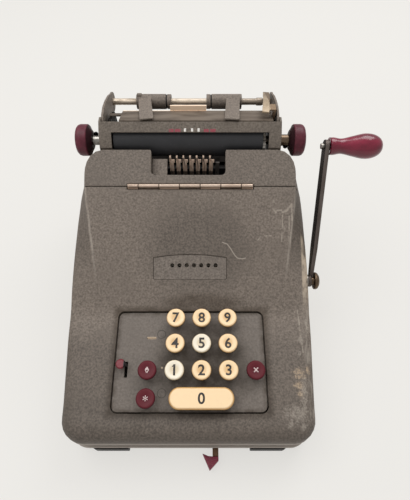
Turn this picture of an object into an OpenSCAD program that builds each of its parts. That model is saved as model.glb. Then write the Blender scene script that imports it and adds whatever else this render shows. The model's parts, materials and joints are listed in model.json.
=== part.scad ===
/* [Casing] */
// Width of the casing over its side walls
body_w = 215; // [210:1:220]
// Wall thickness of the casing
wall = 2.4; // [2:0.1:2.8]
// Height of the feet
foot_h = 9; // [8.5:0.5:10]
// Slope of the keyboard panel in degrees
panel_slope = 9.9; // [9:0.1:11]
// Slope of the hood in degrees
hood_slope = 33.7; // [33:0.1:34]
// Slope of the hinged lid in degrees
lid_slope = 26.8; // [26:0.1:28]

/* [Keyboard] */
// Distance between neighbouring keys across the panel
key_pitch = 22.6; // [21.5:0.1:23]
// Diameter of a number key
key_d = 16.4; // [15:0.2:17]

/* [Carriage] */
// Diameter of the rubber platen
platen_d = 30; // [28:1:30]
// Diameter of the platen knobs
knob_d = 29.8; // [26:0.2:30]
// Diameter of the rod that holds the paper roll
rod_d = 6.4; // [5.6:0.1:6.8]

/* [Crank] */
// Distance from the crank shaft to the grip
crank_r = 124; // [118:1:126]
// Greatest diameter of the grip
grip_d = 22; // [20:1:24]
// Swing of the crank in degrees
crank_swing = 80; // [60:5:80]

/* [Hidden] */
$fn = 48;
eps = 0.01;

// Paint and metal colours
paint = [0.44, 0.41, 0.38];
panel_paint = [0.40, 0.37, 0.35];
steel = [0.55, 0.54, 0.52];
dark_steel = [0.28, 0.26, 0.25];
brass = [0.72, 0.62, 0.48];
rubber = [0.12, 0.12, 0.12];
cream = [0.96, 0.88, 0.73];
maroon = [0.38, 0.12, 0.17];

// Where the sloping surfaces start and end along the centre line
half_w = body_w / 2;
front_y = -147.5;
rear_y = 150;
skirt_z = foot_h + 3;
apron_y = -128;
apron_z = 55;
hood_y = -44.5;
hinge_y = 51.5;
lid_rear_y = 84.5;
deck_z = 92;
hood_z = apron_z + (hood_y - apron_y) * tan(panel_slope);
hinge_z = hood_z + (hinge_y - hood_y) * tan(hood_slope);
valley = 8;
front_r = 18.8;
corner_r = 26;
deck_r = 16;
skin_drop = 1.15;

// Platen, roll rod, crank and accumulator axes as [y, z]
platen_at = [103, 144];
rod_at = [155, 150.5];
crank_at = [-12, 72];
crank_angle = 45.6;
grip_at = crank_at + crank_r * [cos(crank_angle), sin(crank_angle)];
gear_module = 2;
sector_teeth = 36;
pinion_teeth = 12;
mesh_angle = -45;
gear_gap = gear_module * (sector_teeth + pinion_teeth) / 2;
accumulator_at = crank_at + gear_gap * [cos(mesh_angle), sin(mesh_angle)];
hinge_pin_at = [51.7, 134.2];

function mix(a, b, t) = a + (b - a) * t;

// Smooth curve through the points p at x
function curve(p, x) =
  let (
    n = len(p),
    i = max([for (k = [0 : n - 2]) x >= p[k][0] ? k : 0]),
    a = p[max(i - 1, 0)],
    b = p[i],
    c = p[i + 1],
    d = p[min(i + 2, n - 1)],
    h = c[0] - b[0],
    t = min(1, max(0, (x - b[0]) / h)),
    mb = (c[1] - a[1]) / (c[0] - a[0]) * h,
    mc = (d[1] - b[1]) / (d[0] - b[0]) * h
  )
  (2 * t ^ 3 - 3 * t ^ 2 + 1) * b[1] + (t ^ 3 - 2 * t ^ 2 + t) * mb
  + (3 * t ^ 2 - 2 * t ^ 3) * c[1] + (t ^ 3 - t ^ 2) * mc;

// Height of the casing's top along the centre line
function panel_z(y) = apron_z + (y - apron_y) * tan(panel_slope);
function slope_z(y) = hood_z + (y - hood_y) * tan(hood_slope);
function top_z(y) =
  y > hinge_y ? hinge_z + (y - hinge_y) * tan(lid_slope)
  : y > hood_y + valley ? slope_z(y)
  : y > hood_y - valley
    ? panel_z(y) + (tan(hood_slope) - tan(panel_slope)) * (y - hood_y + valley) ^ 2 / (4 * valley)
  : panel_z(y);

// How far the shoulder falls below the top, how far it leans in, and how sharp its crease is
shoulder_drop = [[-149, 15], [-128, 15], [-100, 9.5], [-70, 5], [-42, 4], [-11, 8], [25, 18],
                 [51.5, 31], [84, 47]];
shoulder_inset = [[-149, 18.6], [-128, 18.6], [-100, 19], [-60, 18.5], [-11, 18.6], [25, 13.4],
                  [51.5, 10.6], [84, 10.2]];
shoulder_crease = [[-149, 0], [-30, 0], [-5, 0.6], [25, 1], [84, 1]];

// How far each side wall bulges past half the width
side_bow = [[-148, -0.7], [-120, -0.7], [-90, 0], [-50, 1.4], [-10, 0.9], [24, 0]];

// One side of the plan outline from front to back, each point as [x, y, normal x, normal y]
function half_outline(w, y0, y1, r0, r1, step) = concat(
  [for (a = [-90 : 15 : 0])
    [w + curve(side_bow, y0 + r0) - r0 + r0 * cos(a), y0 + r0 + r0 * sin(a), cos(a), sin(a)]],
  [for (y = [y0 + r0 + step : step : y1 - r1 - step / 3]) [w + curve(side_bow, y), y, 1, 0]],
  [for (a = [0 : 15 : 90]) [w - r1 + r1 * cos(a), y1 - r1 + r1 * sin(a), cos(a), sin(a)]]
);

function whole_outline(half) = concat(
  half,
  [for (i = [len(half) - 1 : -1 : 0]) [-half[i][0], half[i][1], -half[i][2], half[i][3]]]
);

// A closed form: rings climb the wall and the shoulder, then a flat top spans from side to side.
// The shoulder is a plain round where the crease is 0; at 1 it sweeps in to a sharp upper edge.
module form(half, z0, top, drop, inset, crease, steps = 8) {
  outline = whole_outline(half);
  n = len(outline);
  m = len(half);
  rear_edge = 1.5;
  tuck = 3;
  tuck_z = 18;
  function reach(p) = mix(inset(p[1]), rear_edge, max(0, p[3]) ^ 2);
  function ridge_drop(p) = mix(drop(p[1]), rear_edge, max(0, p[3]) ^ 2);
  function crown(p) = top(p[1] - p[3] * reach(p));
  function along(p, d, z) = [p[0] - p[2] * d, p[1] - p[3] * d, z];
  function on_shoulder(p, t) =
    let (sharp = crease(p[1]))
    along(p, reach(p) * mix(t ^ 2, 3 * t ^ 2 - 2 * t ^ 3, sharp),
          crown(p) - ridge_drop(p) * (1 - mix(2 * t - t ^ 2, t, sharp)));
  rings = concat(
    [[for (p = outline) along(p, tuck, z0)]],
    [[for (p = outline) along(p, 0, z0 + tuck_z)]],
    [for (j = [0 : steps]) [for (p = outline) on_shoulder(p, j / steps)]]
  );
  count = len(rings);
  walls = [for (j = [0 : count - 2], i = [0 : n - 1])
    let (a = j * n + i, b = j * n + (i + 1) % n)
    each [[a, a + n, b], [b, a + n, b + n]]];
  top_ring = (count - 1) * n;
  cap = [for (i = [0 : m - 2])
    let (a = top_ring + i, c = top_ring + n - 1 - i)
    each [[a, c, a + 1], [a + 1, c, c - 1]]];
  base = [for (i = [0 : m - 2])
    let (a = i, c = n - 1 - i)
    each [[a, a + 1, c], [a + 1, c - 1, c]]];
  polyhedron(points = [for (ring = rings) each ring], faces = concat(walls, cap, base));
}

// Hood, apron and lid in one form, t inside the painted surface
module upper_form(t) {
  form(half_outline(half_w - t, front_y + t, lid_rear_y - t, front_r - t, corner_r - t, 6.5),
       t > 0 ? skirt_z - 5 : skirt_z,
       function (y) top_z(y) - t * skin_drop,
       function (y) curve(shoulder_drop, y),
       function (y) curve(shoulder_inset, y),
       function (y) curve(shoulder_crease, y));
}

// The lower rear part of the casing with its flat deck
module deck_form(t) {
  deck_edge = 6;
  form(half_outline(half_w - t, 25 + t, rear_y - t, 12, deck_r - t, 40),
       t > 0 ? skirt_z - 5 : skirt_z,
       function (y) deck_z - t,
       function (y) deck_edge,
       function (y) deck_edge,
       function (y) 0,
       3);
}

// Local frames: x across, y up the slope, z out of the surface
module on_panel() {
  translate([0, apron_y, apron_z]) rotate([panel_slope, 0, 0]) children();
}

module on_hood() {
  translate([0, hood_y, hood_z]) rotate([hood_slope, 0, 0]) children();
}

module on_lid() {
  translate([0, hinge_y, hinge_z]) rotate([lid_slope, 0, 0]) children();
}

// A cylinder along X at the axis [y, z]
module bar_x(at, r, x0, x1) {
  translate([x0, at[0], at[1]]) rotate([0, 90, 0]) cylinder(r = r, h = x1 - x0);
}

// A flat shape drawn in Y and Z, from x0 to x1
module plate_x(x0, x1) {
  translate([x0, 0, 0]) rotate([90, 0, 90]) linear_extrude(x1 - x0) children();
}

module round_rect(x0, x1, y0, y1, r) {
  translate([x0 + r, y0]) square([x1 - x0 - 2 * r, y1 - y0]);
  translate([x0, y0 + r]) square([x1 - x0, y1 - y0 - 2 * r]);
  for (x = [x0 + r, x1 - r], y = [y0 + r, y1 - r]) translate([x, y]) circle(r);
}

// Lid line: everything above it and behind the hinge belongs to the lid
lid_depth = 12;
lid_gap = 0.35;
module lid_zone(gap) {
  on_lid() translate([-150, gap, gap - lid_depth]) cube([300, 120, 100]);
}

// Where the hinge barrel lies
hinge_x = [-57, -47.2, -28.3, -9.6, 9.3, 28.2, 46.9, 57.5];
module hinge_slot() {
  translate([hinge_x[0] - 0.8, hinge_y - 2.1, hinge_z - 8])
    cube([hinge_x[7] - hinge_x[0] + 1.6, 4.6, 16]);
}

// Feet and the screws through them
foot_w = 33;
foot_out = 87;
foot_in_y = 115;
foot_out_y = 147.5;
socket_at = [76, 136];
socket_r = 5;
socket_depth = 5;
foot_screw_at = [61, 122];
pan_t = 2;
pan_z = foot_h;
module corners() {
  for (sx = [0, 1], sy = [0, 1]) mirror([sx, 0, 0]) mirror([0, sy, 0]) children();
}

module rubber_feet() {
  color(rubber) corners() difference() {
    linear_extrude(foot_h)
      polygon([[foot_out - foot_w, foot_in_y], [foot_out, foot_in_y], [foot_out, foot_out_y - 4],
               [foot_out - 1.2, foot_out_y - 1.2], [foot_out - 4, foot_out_y],
               [foot_out - foot_w, foot_out_y]]);
    translate([socket_at[0], socket_at[1], -1]) cylinder(r = socket_r, h = socket_depth + 1);
    translate([foot_screw_at[0], foot_screw_at[1], -1]) cylinder(r = 5, h = 5);
    translate([foot_screw_at[0], foot_screw_at[1], -1]) cylinder(r = 2.2, h = foot_h + 2);
  }
}

rear_screw_at = [[-76, 27], [76, 27], [-76, 75], [76, 75]];
module case_screws() {
  color(steel) {
    corners() translate([foot_screw_at[0], foot_screw_at[1], 0]) difference() {
      union() {
        translate([0, 0, 1.8]) cylinder(r = 4.4, h = 2.2);
        translate([0, 0, 3]) cylinder(r = 2, h = pan_z + pan_t);
      }
      translate([-5, -0.5, 1]) cube([10, 1, 1.6]);
    }
    for (p = rear_screw_at) translate([p[0], 0, p[1]]) rotate([-90, 0, 0]) difference() {
      union() {
        translate([0, 0, rear_y - 4]) cylinder(r = 1.85, h = 6.5);
        translate([0, 0, rear_y + 2]) cylinder(r = 3.6, h = 1.8);
      }
      translate([-4, -0.4, rear_y + 3]) cube([8, 0.8, 2]);
    }
  }
}

// Stud under the pan on which the correction lever turns
stud_at = [23, -125];
stud_r = 3;
module pan_outline(inset) {
  w = half_w - inset;
  y0 = front_y + inset;
  y1 = rear_y - inset;
  rf = front_r - inset;
  rr = deck_r - inset;
  translate([rf - w, y0]) square([2 * (w - rf), y1 - y0 - 1]);
  translate([rr - w, y1 - rr]) square([2 * (w - rr), rr]);
  translate([-w, y0 + rf]) square([2 * w, y1 - rr - y0 - rf]);
  for (x = [-1, 1]) {
    translate([x * (w - rf), y0 + rf]) circle(rf);
    translate([x * (w - rr), y1 - rr]) circle(rr);
  }
}

module base_pan() {
  lip_t = 2.7;
  color(paint) {
    difference() {
      union() {
        translate([0, 0, pan_z]) linear_extrude(lip_t) pan_outline(1);
        translate([0, 0, pan_z]) linear_extrude(pan_t + 8) pan_outline(6);
      }
      translate([0, 0, pan_z + pan_t]) linear_extrude(20) pan_outline(7.4);
      corners() translate([foot_screw_at[0], foot_screw_at[1], 0]) cylinder(r = 2.2, h = 30);
    }
    translate([stud_at[0], stud_at[1], 3.4]) cylinder(r = stud_r, h = pan_z - 3.4 + eps);
    translate([stud_at[0], stud_at[1], 3]) cylinder(r = 4.6, h = 1.2);
  }
}

// Key panel: outline, holes and the slots beside the keys
panel_x = [-64.6, 66.3];
panel_len = 86;
panel_gap = 1.1;
key_rows = [10.9, 33.1, 55.3, 77.5];
key_x0 = 10.8;
key_slots = [
  [1, -1, 1], [2, 0, 1], [3, 1, 1], [4, -1, 2], [5, 0, 2], [6, 1, 2], [7, -1, 3], [8, 0, 3],
  [9, 1, 3]
];
subtotal_at = [key_x0 - 2 * key_pitch, key_rows[1]];
total_at = [key_x0 - 2 * key_pitch, key_rows[0]];
multiply_at = [key_x0 + 2 * key_pitch, key_rows[1]];
zero_at = [key_x0, key_rows[0]];
zero_w = 53;
zero_stems = 16;
stem_r = 2.5;
lever_x = -54;
lever_s = 38.4;
function key_at(k) = [key_x0 + key_slots[k - 1][1] * key_pitch, key_rows[key_slots[k - 1][2]]];
stem_places = concat(
  [for (k = [1 : 9]) key_at(k)],
  [subtotal_at, total_at, multiply_at],
  [zero_at - [zero_stems, 0], zero_at + [zero_stems, 0]]
);

module panel_shape(gap) {
  round_rect(panel_x[0] + gap, panel_x[1] - gap, gap, panel_len - gap, 6 - gap);
}

module keyboard_plate() {
  post_h = 12;
  color(panel_paint) on_panel() difference() {
    union() {
      translate([0, 0, -2.8]) linear_extrude(2.6) panel_shape(panel_gap);
      translate([0, 0, -4.4]) linear_extrude(1.6) panel_shape(-3.6);
      for (x = [-57, 57], s = [8, 76]) translate([x, s, -4.3 - post_h]) cylinder(r = 2.5, h = post_h);
    }
    for (p = stem_places) translate([p[0], p[1], -6]) cylinder(r = 3.5, h = 8);
    translate([lever_x - 1.3, 28.5, -6]) cube([2.6, 13, 8]);
    translate([-37.3, 61.1, -1.4]) cube([8, 1.2, 2]);
  }
}

guide_n = 18;
lever_pivot_n = -26;
module key_guide_plate() {
  color(steel) on_panel() difference() {
    union() {
      translate([-95, 3, -guide_n]) cube([190, 81, 1.7]);
      for (x = [lever_x - 5.2, lever_x + 3.7])
        translate([x, lever_s - 4, lever_pivot_n - 3.5]) cube([1.5, 8, 12.5]);
    }
    translate([lever_x - 8, lever_s, lever_pivot_n]) rotate([0, 90, 0]) cylinder(r = 1.55, h = 16);
    for (p = stem_places) translate([p[0], p[1], -guide_n - 1]) cylinder(r = stem_r + 0.25, h = 4);
    translate([lever_x - 2.5, 27, -guide_n - 1]) cube([5, 18, 4]);
  }
}

// A round key: dished cap on its stem, standing at its place on the panel
cap_n = 5.8;
cap_top = 12;
stem_end = -24;
module stem() {
  translate([0, 0, stem_end]) cylinder(r = stem_r, h = cap_n + 1 - stem_end, $fn = 24);
}

module round_cap(d) {
  r = d / 2;
  rotate_extrude() polygon([
    [0, cap_n], [r - 1.2, cap_n], [r - 0.5, cap_n + 0.8], [r, cap_top - 2], [r - 0.3, cap_top - 0.7],
    [r - 1.3, cap_top], [r - 2.6, cap_top - 0.1], [r - 5, cap_top - 0.6], [0, cap_top - 0.8]
  ]);
}

module round_key(at, d) {
  on_panel() translate([at[0], at[1], 0]) {
    round_cap(d);
    stem();
  }
}

module number_key(k) {
  color(cream) round_key(key_at(k), key_d);
}

module key_0() {
  r = key_d / 2 + 0.4;
  color(cream) on_panel() translate([zero_at[0], zero_at[1], 0]) {
    for (sx = [-1, 1]) {
      translate([sx * (zero_w / 2 - r), 0, cap_n]) cylinder(r = r, h = cap_top - cap_n - 1.4);
      translate([sx * (zero_w / 2 - r), 0, cap_top - 1.5]) cylinder(r1 = r, r2 = r - 1.5, h = 1.5);
      translate([sx * zero_stems, 0, 0]) stem();
    }
    translate([0, 0, cap_n]) linear_extrude(cap_top - cap_n - 1.4)
      square([zero_w - 2 * r, 2 * r], center = true);
    rotate([90, 0, 90]) translate([0, 0, r - zero_w / 2]) linear_extrude(zero_w - 2 * r)
      polygon([[-r, cap_top - 1.5], [r, cap_top - 1.5], [r - 1.5, cap_top], [1.5 - r, cap_top]]);
  }
}

module key_1() { number_key(1); }
module key_2() { number_key(2); }
module key_3() { number_key(3); }
module key_4() { number_key(4); }
module key_5() { number_key(5); }
module key_6() { number_key(6); }
module key_7() { number_key(7); }
module key_8() { number_key(8); }
module key_9() { number_key(9); }
control_d = 15.8;
module subtotal_key() { color(maroon) round_key(subtotal_at, control_d); }
module total_key() { color(maroon) round_key(total_at, control_d); }
module multiply_key() { color(maroon) round_key(multiply_at, control_d); }

// Small lever beside the keys; it turns about a pivot below the panel
module function_lever() {
  color(maroon) on_panel() translate([lever_x - 3.4, lever_s, 0]) {
    translate([0, 0, 4.5]) cylinder(r1 = 3.4, r2 = 4, h = 3.5);
    translate([0, 0, 8 - eps]) cylinder(r1 = 4, r2 = 3.2, h = 1.2);
  }
  color(dark_steel) on_panel() {
    translate([lever_x - 0.8, lever_s - 1.3, lever_pivot_n + 2]) cube([1.6, 2.6, 3 - lever_pivot_n]);
    translate([lever_x - 3.8, lever_s - 1.3, 3]) cube([4.6, 2.6, 2]);
    translate([lever_x - 3, lever_s, lever_pivot_n]) rotate([0, 90, 0]) cylinder(r = 3.6, h = 6);
    translate([lever_x - 5.2, lever_s, lever_pivot_n]) rotate([0, 90, 0]) cylinder(r = 1.5, h = 10.4);
  }
}

// Inset plate with seven round holes, set in the hood
indicator_s = [30.5, 50.2, 53.1];
indicator_half = 33.3;
indicator_hole_s = 43.2;
indicator_hole_x = -16.2;
indicator_pitch = 6.6;
module indicator_shape(grow) {
  rise = indicator_s[2] - indicator_s[1];
  arc_r = (indicator_half ^ 2 + rise ^ 2) / (2 * rise);
  intersection() {
    round_rect(-indicator_half - grow, indicator_half + grow, indicator_s[0] - grow,
               indicator_s[2] + 3, 1.5);
    translate([0, indicator_s[2] + grow - arc_r]) circle(arc_r, $fn = 180);
  }
}

module indicator_plate() {
  color(dark_steel) on_hood() difference() {
    union() {
      translate([0, 0, -2.5]) linear_extrude(1.7) indicator_shape(0);
      translate([0, 0, -3.7]) linear_extrude(1.3) indicator_shape(3);
    }
    for (i = [0 : 6])
      translate([indicator_hole_x + i * indicator_pitch, indicator_hole_s, -6]) cylinder(r = 1.85, h = 8);
  }
}

module rear_screw_holes() {
  for (p = rear_screw_at)
    translate([p[0], rear_y - 6, p[1]]) rotate([-90, 0, 0]) cylinder(r = 1.9, h = 10);
}

// Painted casing: hood, apron, sides and rear deck, open below
crank_bush_r = 5.6;
module housing() {
  color(paint) difference() {
    union() {
      upper_form(0);
      deck_form(0);
    }
    upper_form(wall);
    deck_form(wall);
    lid_zone(-lid_gap / 2);
    hinge_slot();
    // print window behind the type bars
    translate([-70, lid_rear_y - wall - 2, deck_z + 6]) cube([140, 10, 60]);
    on_panel() translate([0, 0, -8]) linear_extrude(16) panel_shape(0);
    on_hood() translate([0, 0, -8]) linear_extrude(16) indicator_shape(0.2);
    bar_x(crank_at, crank_bush_r, 95, 120);
    // service opening and screw holes at the back
    translate([-68, rear_y - 6, 32]) cube([136, 10, 40]);
    rear_screw_holes();
  }
}

module rear_cover() {
  color(paint) difference() {
    translate([0, rear_y + 2, 0]) rotate([90, 0, 0]) linear_extrude(2) round_rect(-84, 84, 20, 82, 6);
    rear_screw_holes();
  }
}

// Hinged lid with its U-shaped notch and the turned-down rim round it
notch = [-36.2, 32.7, 61.5];
mouth_r = 3.5;
module notch_shape(grow) {
  round_rect(notch[0] - grow, notch[1] + grow, notch[2] - grow, 110, 4 + grow);
  for (side = [0, 1]) translate([side ? notch[1] : notch[0], lid_rear_y - mouth_r]) mirror([1 - side, 0])
    difference() {
      square([mouth_r, 2 * mouth_r]);
      translate([mouth_r, 0]) circle(mouth_r - grow);
    }
}

module lid() {
  rim = 1.5;
  rim_depth = 8;
  lid_wall = 2;
  color(paint) difference() {
    union() {
      difference() {
        intersection() {
          upper_form(0);
          lid_zone(lid_gap);
        }
        upper_form(lid_wall);
      }
      intersection() {
        upper_form(0.2);
        translate([0, 0, 120]) linear_extrude(60) notch_shape(rim);
        on_lid() translate([-100, 2, -rim_depth]) cube([200, 60, 20]);
      }
    }
    translate([0, 0, 100]) linear_extrude(80) notch_shape(0);
    hinge_slot();
  }
}

// Piano hinge: knuckles of the two leaves alternate on one pin
barrel_r = 1.75;
pin_r = 1;
leaf_t = 1.1;
module knuckles(first) {
  for (i = [first : 2 : 6]) difference() {
    children(0);
    translate([-200, 0, 0]) cube([hinge_x[i] + 200.1, 400, 400]);
    translate([hinge_x[i + 1] - 0.1, 0, 0]) cube([200, 400, 400]);
  }
}

module hinge_leaf_front() {
  color(brass) {
    knuckles(0) difference() {
      union() {
        bar_x(hinge_pin_at, barrel_r, hinge_x[0], hinge_x[7]);
        plate_x(hinge_x[0], hinge_x[7])
          translate(hinge_pin_at - [1.2, 6.4]) square([leaf_t, 6.4]);
      }
      bar_x(hinge_pin_at, pin_r + 0.05, hinge_x[0] - 1, hinge_x[7] + 1);
    }
    plate_x(hinge_x[0], hinge_x[7]) translate(hinge_pin_at - [1.8, 6.4]) square([leaf_t, 4.2]);
    on_hood() translate([hinge_x[0], 100, -4.1]) cube([hinge_x[7] - hinge_x[0], 12.3, leaf_t]);
  }
}

module hinge_leaf_lid() {
  color(brass) {
    knuckles(1) difference() {
      union() {
        bar_x(hinge_pin_at, barrel_r, hinge_x[0], hinge_x[7]);
        plate_x(hinge_x[0], hinge_x[7])
          translate(hinge_pin_at + [0.7, -3]) square([leaf_t, 3]);
      }
      bar_x(hinge_pin_at, pin_r + 0.05, hinge_x[0] - 1, hinge_x[7] + 1);
    }
    on_lid() translate([hinge_x[0], 1, -2 * skin_drop - leaf_t - 0.3])
      cube([hinge_x[7] - hinge_x[0], 6.3, leaf_t]);
  }
}

module hinge_pin() {
  color(brass) bar_x(hinge_pin_at, pin_r, hinge_x[0], hinge_x[7]);
}

// Steel side frames and the rods between them
frame_x = 95;
frame_t = 3;
rail_at = [[-92, 22], [-68, 22]];
rod_places = concat(rail_at, [[124, 30], [124, 78], [44, 84]]);
module frame_plate() {
  difference() {
    plate_x(frame_x, frame_x + frame_t) difference() {
      polygon([[-118, pan_z + pan_t], [133, pan_z + pan_t], [133, 84], [78, 84], [73, 95], [71, 110],
               [42, 110], [-30, 62], [-60, 48], [-118, 40]]);
      for (p = [[-30, 30], [70, 40], [105, 50]]) translate(p) circle(13);
    }
    bar_x(crank_at, 6.05, frame_x - 1, frame_x + 5);
    bar_x(accumulator_at, 3.05, frame_x - 1, frame_x + 5);
  }
}

module side_frame_right() {
  color(steel) frame_plate();
}

module side_frame_left() {
  color(steel) mirror([1, 0, 0]) frame_plate();
}

module frame_crossbars() {
  color(steel) for (p = rod_places) bar_x(p, 3, -frame_x, frame_x);
}

// Stop-pin carriage on two rails, and the pointer bar it carries up behind the hood's holes
carriage_box = [-25, 45, -100, -60, 16, 29];
module pin_carriage() {
  b = carriage_box;
  color(dark_steel) difference() {
    translate([b[0], b[2], b[4]]) cube([b[1] - b[0], b[3] - b[2], b[5] - b[4]]);
    for (p = rail_at) bar_x(p, 3.06, b[0] - 1, b[1] + 1);
    for (c = [0 : 9], r = [0 : 3])
      translate([b[0] + 8 + c * 6, b[2] + 16 + r * 3.4, b[5] - 3]) cylinder(r = 1.1, h = 4, $fn = 16);
  }
}

module column_indicator() {
  b = carriage_box;
  color(steel) plate_x(-4, 4)
    polygon([[b[3], 20], [-31, 27], [-27, 60], [-27, 74], [-5, 88], [-3.2, 86.2], [-25, 73],
             [-25, 59.6], [-29.4, 25.4], [b[3], 18]]);
  color("ivory") on_hood()
    translate([indicator_hole_x - 4, indicator_hole_s - 1, -9]) cube([6 * indicator_pitch + 8, 2, 1.2]);
}

// Hand crank
shaft_r = 6;
journal_r = 3.6;
journal_x = 103.5;
arm_t = 3.8;
arm_w = 12;
arm_x = 113.4;
arm_lean = 3.8;
arm_end_r = 6;
hub_r = 5.6;
hub_end = 114;
flange_r = 6.6;
wall_x = half_w + curve(side_bow, crank_at[0] - flange_r) + 0.05;
bush_out = wall_x + 1.8;
module crank_bush() {
  color(steel) difference() {
    union() {
      bar_x(crank_at, crank_bush_r, journal_x + 0.2, wall_x + eps);
      bar_x(crank_at, flange_r, wall_x, bush_out);
    }
    bar_x(crank_at, journal_r + 0.05, 100, 112);
  }
}

module crank_shaft() {
  color(steel) {
    bar_x(crank_at, shaft_r, -frame_x - frame_t, journal_x);
    bar_x(crank_at, journal_r, journal_x - 1, hub_end);
  }
}

module at_crank() {
  translate([0, crank_at[0], crank_at[1]]) rotate([crank_angle, 0, 0]) children();
}

module crank_arm() {
  color(dark_steel) at_crank() difference() {
    union() {
      rotate([0, 90, 0]) translate([0, 0, bush_out + 0.3]) cylinder(r = hub_r, h = hub_end - bush_out - 0.3);
      translate([arm_x, 0, 0]) rotate([0, 0, -arm_lean]) translate([-arm_t / 2, 0, 0]) {
        plate_x(0, arm_t) polygon([[hub_r, -hub_r / 2], [32, -arm_w / 2], [crank_r, -arm_w / 2],
                                   [crank_r, arm_w / 2], [32, arm_w / 2], [hub_r, hub_r / 2]]);
        plate_x(0, arm_t - 1.8) translate([journal_r, -hub_r / 2]) square([4, hub_r]);
        translate([0, crank_r, 0]) rotate([0, 90, 0]) cylinder(r = arm_end_r, h = arm_t);
      }
    }
    rotate([0, 90, 0]) translate([0, 0, 100]) cylinder(r = journal_r, h = 30);
    translate([0, crank_r, 0]) rotate([0, 90, 0]) translate([0, 0, 100]) cylinder(r = 2.5, h = 40);
  }
}

// Domed nut on a short neck that ends the shaft
module crank_nut() {
  color(dark_steel) at_crank() rotate([0, 90, 0]) rotate_extrude()
    polygon([[0, hub_end], [4.2, hub_end], [4.2, 116.2], [7.6, 116.4], [8.1, 117], [8.1, 118.4],
             [7.4, 119.7], [5.6, 120.9], [3, 121.5], [0, 121.7]]);
}

grip_x = [124.4, 171.8];
grip_profile = [[124.4, 7.6], [128, 7.7], [135, 6.7], [145, 8.9], [154.7, 11], [162, 10.6],
                [167.5, 8.3], [170.6, 5], [171.8, 1.5]];
module crank_spindle() {
  color(steel) translate([0, grip_at[0], grip_at[1]]) rotate([0, 90, 0]) {
    translate([0, 0, 117]) cylinder(r = 2.5, h = 10);
    translate([0, 0, 124.35]) cylinder(r = 4, h = 35.65);
  }
}

module crank_grip() {
  steps = 30;
  color(maroon) translate([0, grip_at[0], grip_at[1]]) rotate([0, 90, 0]) difference() {
    rotate_extrude($fn = 64) polygon(concat(
      [[0, grip_x[0]]],
      [for (i = [0 : steps]) let (x = mix(grip_x[0], grip_x[1], i / steps))
        [curve(grip_profile, x) * grip_d / 22, x]],
      [[0, grip_x[1]]]
    ));
    translate([0, 0, 120]) cylinder(r = 4.06, h = 41);
  }
}

// Toothed sector on the crank shaft and the register it turns
module gear(teeth, from, to, phase) {
  pitch = 360 / teeth;
  r = gear_module * teeth / 2;
  root = r - 1.3 * gear_module;
  tip = r + 0.8 * gear_module;
  circle(root + eps);
  for (a = [from + phase : pitch : to]) rotate(a)
    polygon([[root - 1, -1.35], [r, -1.2], [tip, -0.6], [tip, 0.6], [r, 1.2], [root - 1, 1.35]]);
}

sector_x = [57, 63];
module drive_sector() {
  color(steel) translate([0, crank_at[0], crank_at[1]]) difference() {
    plate_x(sector_x[0], sector_x[1]) union() {
      circle(12);
      intersection() {
        gear(sector_teeth, mesh_angle - crank_swing - 10, mesh_angle + 10, 0);
        polygon([[0, 0], for (a = [mesh_angle - crank_swing - 15 : 10 : mesh_angle + 15])
          45 * [cos(a), sin(a)]]);
      }
    }
    bar_x([0, 0], shaft_r, 50, 70);
  }
}

bar_x0 = -17.6;
bar_pitch = 6.2;
bars = 8;
module accumulator_wheels() {
  color(brass) translate([0, accumulator_at[0], accumulator_at[1]]) {
    difference() {
      plate_x(sector_x[0] - 1, sector_x[1] + 1) gear(pinion_teeth, 0, 359, mesh_angle + 15);
      bar_x([0, 0], 3, 50, 70);
    }
    for (i = [0 : bars - 1]) difference() {
      plate_x(bar_x0 + i * bar_pitch - 1.5, bar_x0 + i * bar_pitch + 1.5) circle(11, $fn = 10);
      bar_x([0, 0], 3, -50, 70);
    }
  }
}

module accumulator_shaft() {
  color(steel) bar_x(accumulator_at, 3, -frame_x - frame_t, frame_x + frame_t);
}

// Type bars behind the notch, the shelf that guides them, and the grey shield beside them
bar_y = 78;
bar_top = 144.4;
bar_w = 3.7;
shelf_z = 110;
bar_left = -bar_w / 2 - 0.2;
hook_z = bar_top - 3.4;
finger_w = 1.5;
module type_bars() {
  color(brass) for (i = [0 : bars - 1])
    translate([bar_x0 + i * bar_pitch + bar_left, bar_y, 0]) difference() {
    union() {
      translate([0, 0, 60]) cube([bar_w, 1.6, hook_z - 60 - (i == bars - 1 ? 3 : 0)]);
      if (i < bars - 1) {
        translate([0, 0, hook_z - 1]) cube([finger_w, 1.6, bar_top - hook_z + 1]);
        translate([finger_w, 0, hook_z - 3]) cube([bar_w - finger_w + 1.1, 1.6, 3]);
        translate([0, 1.5, bar_top - 7]) cube([finger_w, 1.6, 7]);
      }
    }
    translate([2.3, -1, 125.5]) rotate([-90, 0, 0]) cylinder(r = 0.7, h = 5, $fn = 16);
    translate([1, -0.1, 122]) cube([0.4, 0.7, hook_z - 122]);
  }
}

spool_at = [62, 65];
module type_bar_guide() {
  color(steel) {
    difference() {
      union() {
        translate([-frame_x, 48, shelf_z]) cube([2 * frame_x, 23, 3]);
        translate([-80, 48, shelf_z]) cube([160, 33.6, 3]);
        translate([-frame_x, 74, 66]) cube([2 * frame_x, 9, 4]);
      }
      for (i = [0 : bars - 1])
        translate([bar_x0 + i * bar_pitch + bar_left - 0.3, bar_y - 0.4, 0])
          cube([bar_w + 0.6, 4, 130]);
    }
    for (s = [-1, 1]) translate([s * spool_at[0], spool_at[1], shelf_z + 2]) cylinder(r = 3, h = 17);
  }
  color(paint) plate_x(notch[0] + 0.3, -21.8)
    polygon([[65.6, shelf_z + 3], [67.1, shelf_z + 3], [67.1, 130.8], [81.5, 138], [81.5, 139.6],
             [65.6, 131.7]]);
}

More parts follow.
